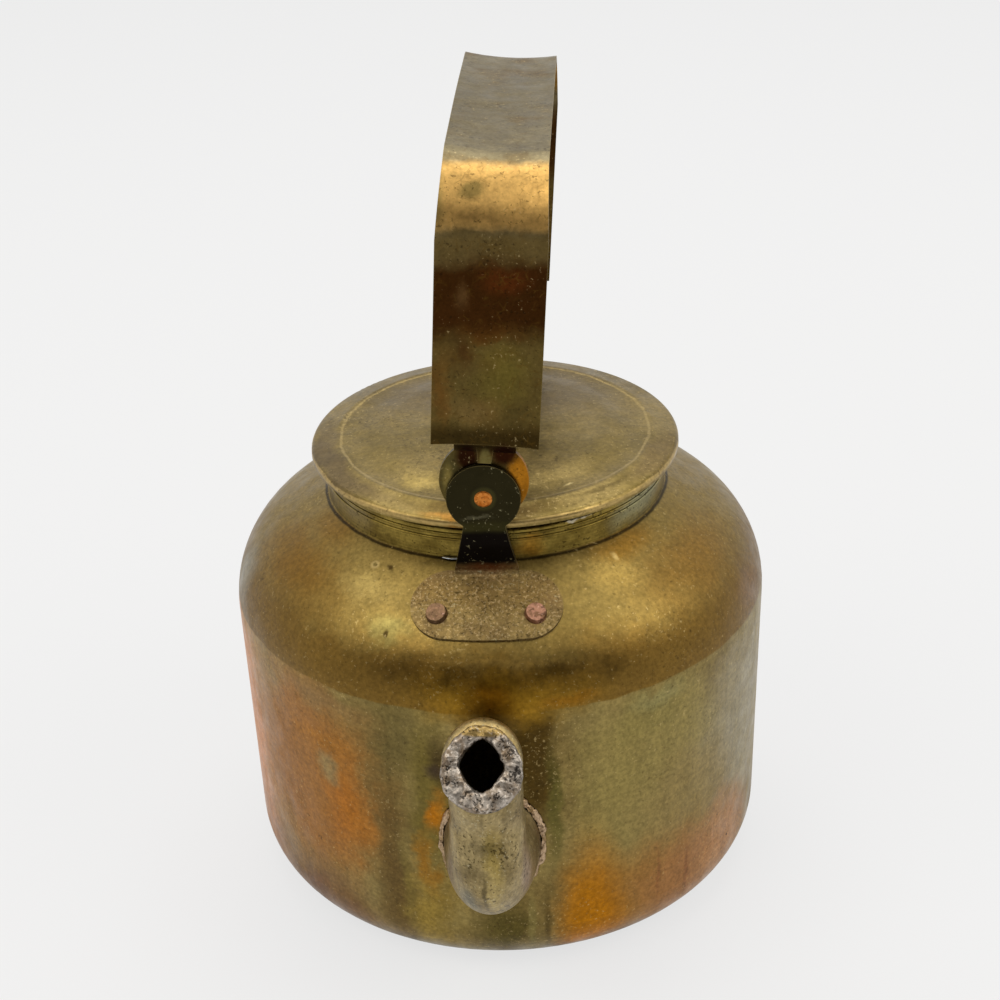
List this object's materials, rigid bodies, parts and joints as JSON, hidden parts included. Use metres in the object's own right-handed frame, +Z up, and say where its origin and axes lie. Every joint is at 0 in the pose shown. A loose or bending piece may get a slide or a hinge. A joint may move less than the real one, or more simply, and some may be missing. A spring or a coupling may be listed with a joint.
{
  "type": "tea kettle",
  "caption": "Old brass tea kettle with a lift-off lid, a swing handle on riveted brackets and a short gooseneck spout.",
  "frame": {"origin": "middle of the flat bottom, where the upright axis meets the surface that the kettle stands on", "axes": "+Z up, spout along -Y, handle pivots on the front and back along Y, +X to the right of someone facing the spout"},
  "size_m": [0.1496, 0.1794, 0.2262],
  "materials": {
    "body_brass": "aged",
    "neck_brass": "aged",
    "lid_brass": "aged",
    "knob_brass": "aged",
    "spout_brass": "aged",
    "handle_brass": "aged",
    "bracket_brass": "tarnished",
    "rivet_copper": "aged copper",
    "tin_solder": "tinned, rough"
  },
  "bodies": {
    "root": {"body_shell": "body_brass", "base_disc": "body_brass", "neck_ring": "neck_brass", "spout": "spout_brass", "front_bracket": "bracket_brass", "rear_bracket": "bracket_brass", "front_pivot_washer": "bracket_brass", "rear_pivot_washer": "bracket_brass", "front_bracket_rivets": "rivet_copper", "rear_bracket_rivets": "rivet_copper", "front_rivet_roves": "rivet_copper", "rear_rivet_roves": "rivet_copper", "front_pivot_pin": "rivet_copper", "rear_pivot_pin": "rivet_copper", "base_solder_seam": "tin_solder", "neck_solder_seam": "tin_solder", "spout_solder_bead": "tin_solder", "spout_rim": "tin_solder"},
    "handle": {"handle_strap": "handle_brass"},
    "lid": {"lid_disc": "lid_brass", "lid_skirt": "lid_brass", "lid_knob": "knob_brass", "lid_knob_rove": "rivet_copper"}
  },
  "joints": [
    {"name": "handle_swing", "type": "hinge", "parent": "root", "child": "handle", "pos_m": [0, 0, 0.13822], "axis": [0, 1, 0], "range_deg": [-108, 100.4]},
    {"name": "lid_lift", "type": "slide", "parent": "root", "child": "lid", "axis": [0, 0, 1], "range_m": [0, 0.055]}
  ]
}
